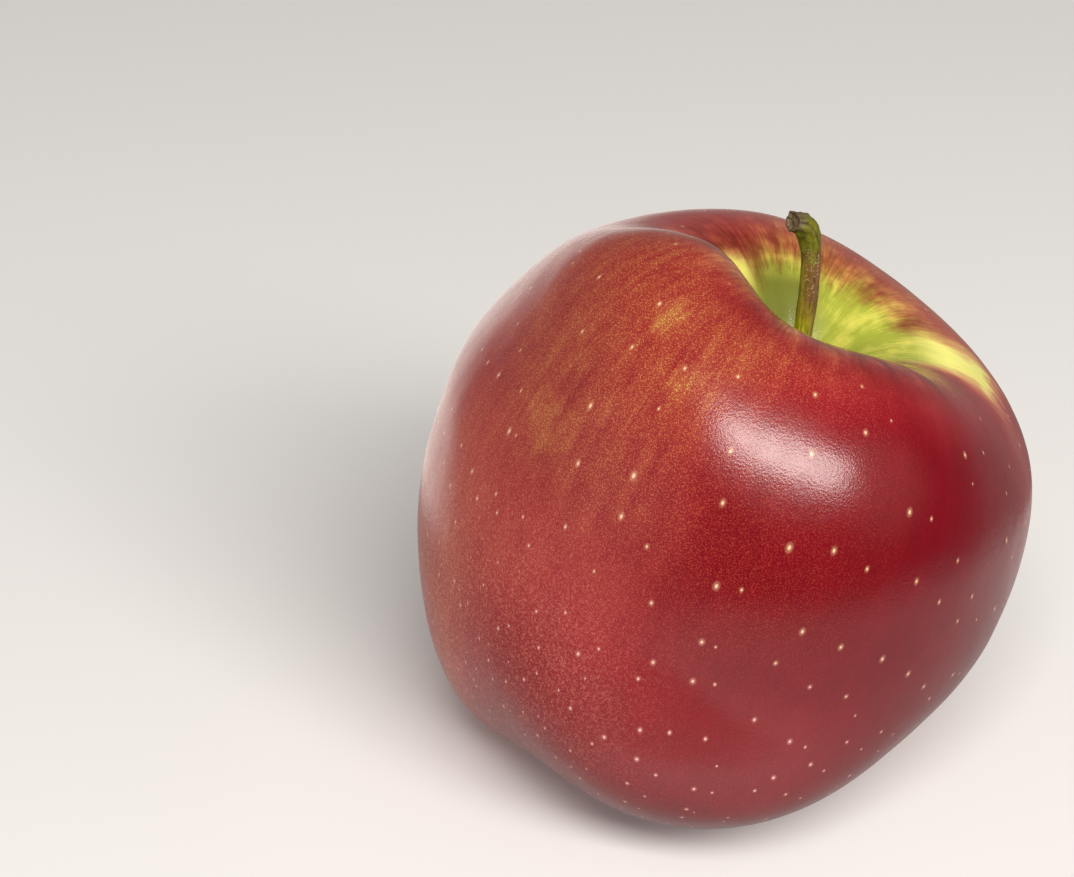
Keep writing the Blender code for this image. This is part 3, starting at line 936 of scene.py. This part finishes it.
card.visible_camera = False

# Light
# One long softbox above the near right side is the main light. Two soft fills light only the fruit, one
# low from the left and one from behind, and the pale walls of a dim room give the wax its light rims.
LIGHTS_HEIGHT = 0.04
SOFTBOX_TINT = (1.0, 0.97, 0.93)
ROOM_TINT = (1.0, 0.94, 0.87, 1.0)
ROOM_DIM = 0.07
# What is pale in the room: the way to it, the cosines of the angles from there at which it starts and is
# full, and how bright it is. They are the wall behind to the left, the wall higher up, the corner behind
# to the right, the left wall, and the glow at the softbox's far end and round its middle.
ROOM_LIGHTS = (
    ((-0.30, 0.88, -0.40), 0.86, 0.97, 1.25),
    ((-0.15, 0.85, 0.45), 0.60, 1.00, 0.10),
    ((0.50, 0.85, -0.15), 0.60, 0.95, 0.18),
    ((-1.00, 0.00, -0.15), 0.35, 0.95, 0.23),
    ((0.85, -0.45, 0.24), 0.86, 0.97, 0.45),
    ((0.217, -0.757, 0.616), 0.80, 1.00, 0.75),
)


def way_to(azimuth, elevation):
    """The direction from the fruit. Azimuth 0 is the near side, and 90 the right."""
    turn, tip = math.radians(azimuth), math.radians(elevation)
    return Vector((math.sin(turn) * math.cos(tip), -math.cos(turn) * math.cos(tip), math.sin(tip)))


def softbox(name, middle, end, distance, length, width, brightness, fill_for=()):
    """A soft rectangle of light that faces the fruit, with its length along the way to its end.

    A fill lights only the pieces that it is for, and they don't mirror it.
    """
    light = bpy.data.lights.new(name, "AREA")
    light.shape = "RECTANGLE"
    light.size = length
    light.size_y = width
    light.energy = brightness * math.pi * length * width
    light.color = SOFTBOX_TINT
    lamp = bpy.data.objects.new(name, light)
    facing = way_to(*middle)
    along = way_to(*end)
    along = (along - along.dot(facing) * facing).normalized()
    lamp.matrix_world = Matrix((along, facing.cross(along), facing)).transposed().to_4x4()
    lamp.location = distance * facing + Vector((0.0, 0.0, LIGHTS_HEIGHT))
    scene.collection.objects.link(lamp)
    lamp.visible_camera = False
    if fill_for:
        lamp.visible_glossy = False
        lit = bpy.data.collections.new(name)
        for piece in fill_for:
            lit.objects.link(piece)
        lamp.light_linking.receiver_collection = lit


softbox("key_softbox", (16, 38), (48, 18), 1.2, 1.15, 0.36, 16.0)
softbox("low_fill", (-66, 2), (-20, 2), 0.5, 0.5, 0.36, 1.9, fill_for=(skin, stem, calyx))
softbox("back_fill", (175, 25), (90, 0), 0.7, 0.6, 0.6, 0.8, fill_for=(skin, stem, calyx))

world = bpy.data.worlds.new("studio")
scene.world = world
world.use_nodes = True
room = world.node_tree
seen = put(room, "ShaderNodeTexCoord").outputs["Generated"]
glow = ROOM_DIM
for way, start, full, brightness in ROOM_LIGHTS:
    facing = put(room, "ShaderNodeVectorMath", {0: seen, 1: Vector(way).normalized()},
                 operation="DOT_PRODUCT")
    glow = Amount(room, facing.outputs["Value"]).rise(start, full) * brightness + glow
feed(room, room.nodes["Background"].inputs["Strength"], glow)
room.nodes["Background"].inputs["Color"].default_value = ROOM_TINT
scene.view_settings.view_transform = "Standard"

# Camera
# It looks along +Y and 25 degrees down, from about arm's length, as the photograph does. Its lens is as
# long as 3301 of the photograph's pixels.
LENS_DOWN = math.radians(25.0)
LENS_IN_PIXELS = 3301.2
PHOTO_WIDTH = 1074.0
SENSOR_WIDTH = 36.0
camera_data = bpy.data.cameras.new("camera")
camera_data.sensor_width = SENSOR_WIDTH
camera_data.lens = SENSOR_WIDTH * LENS_IN_PIXELS / PHOTO_WIDTH
camera_data.clip_start = 0.01
camera_data.clip_end = 50.0
camera = bpy.data.objects.new("camera", camera_data)
camera.location = (-0.02381, -0.37635, 0.21933)
camera.rotation_euler = (math.pi / 2 - LENS_DOWN, 0.0, 0.0)
scene.collection.objects.link(camera)
scene.camera = camera
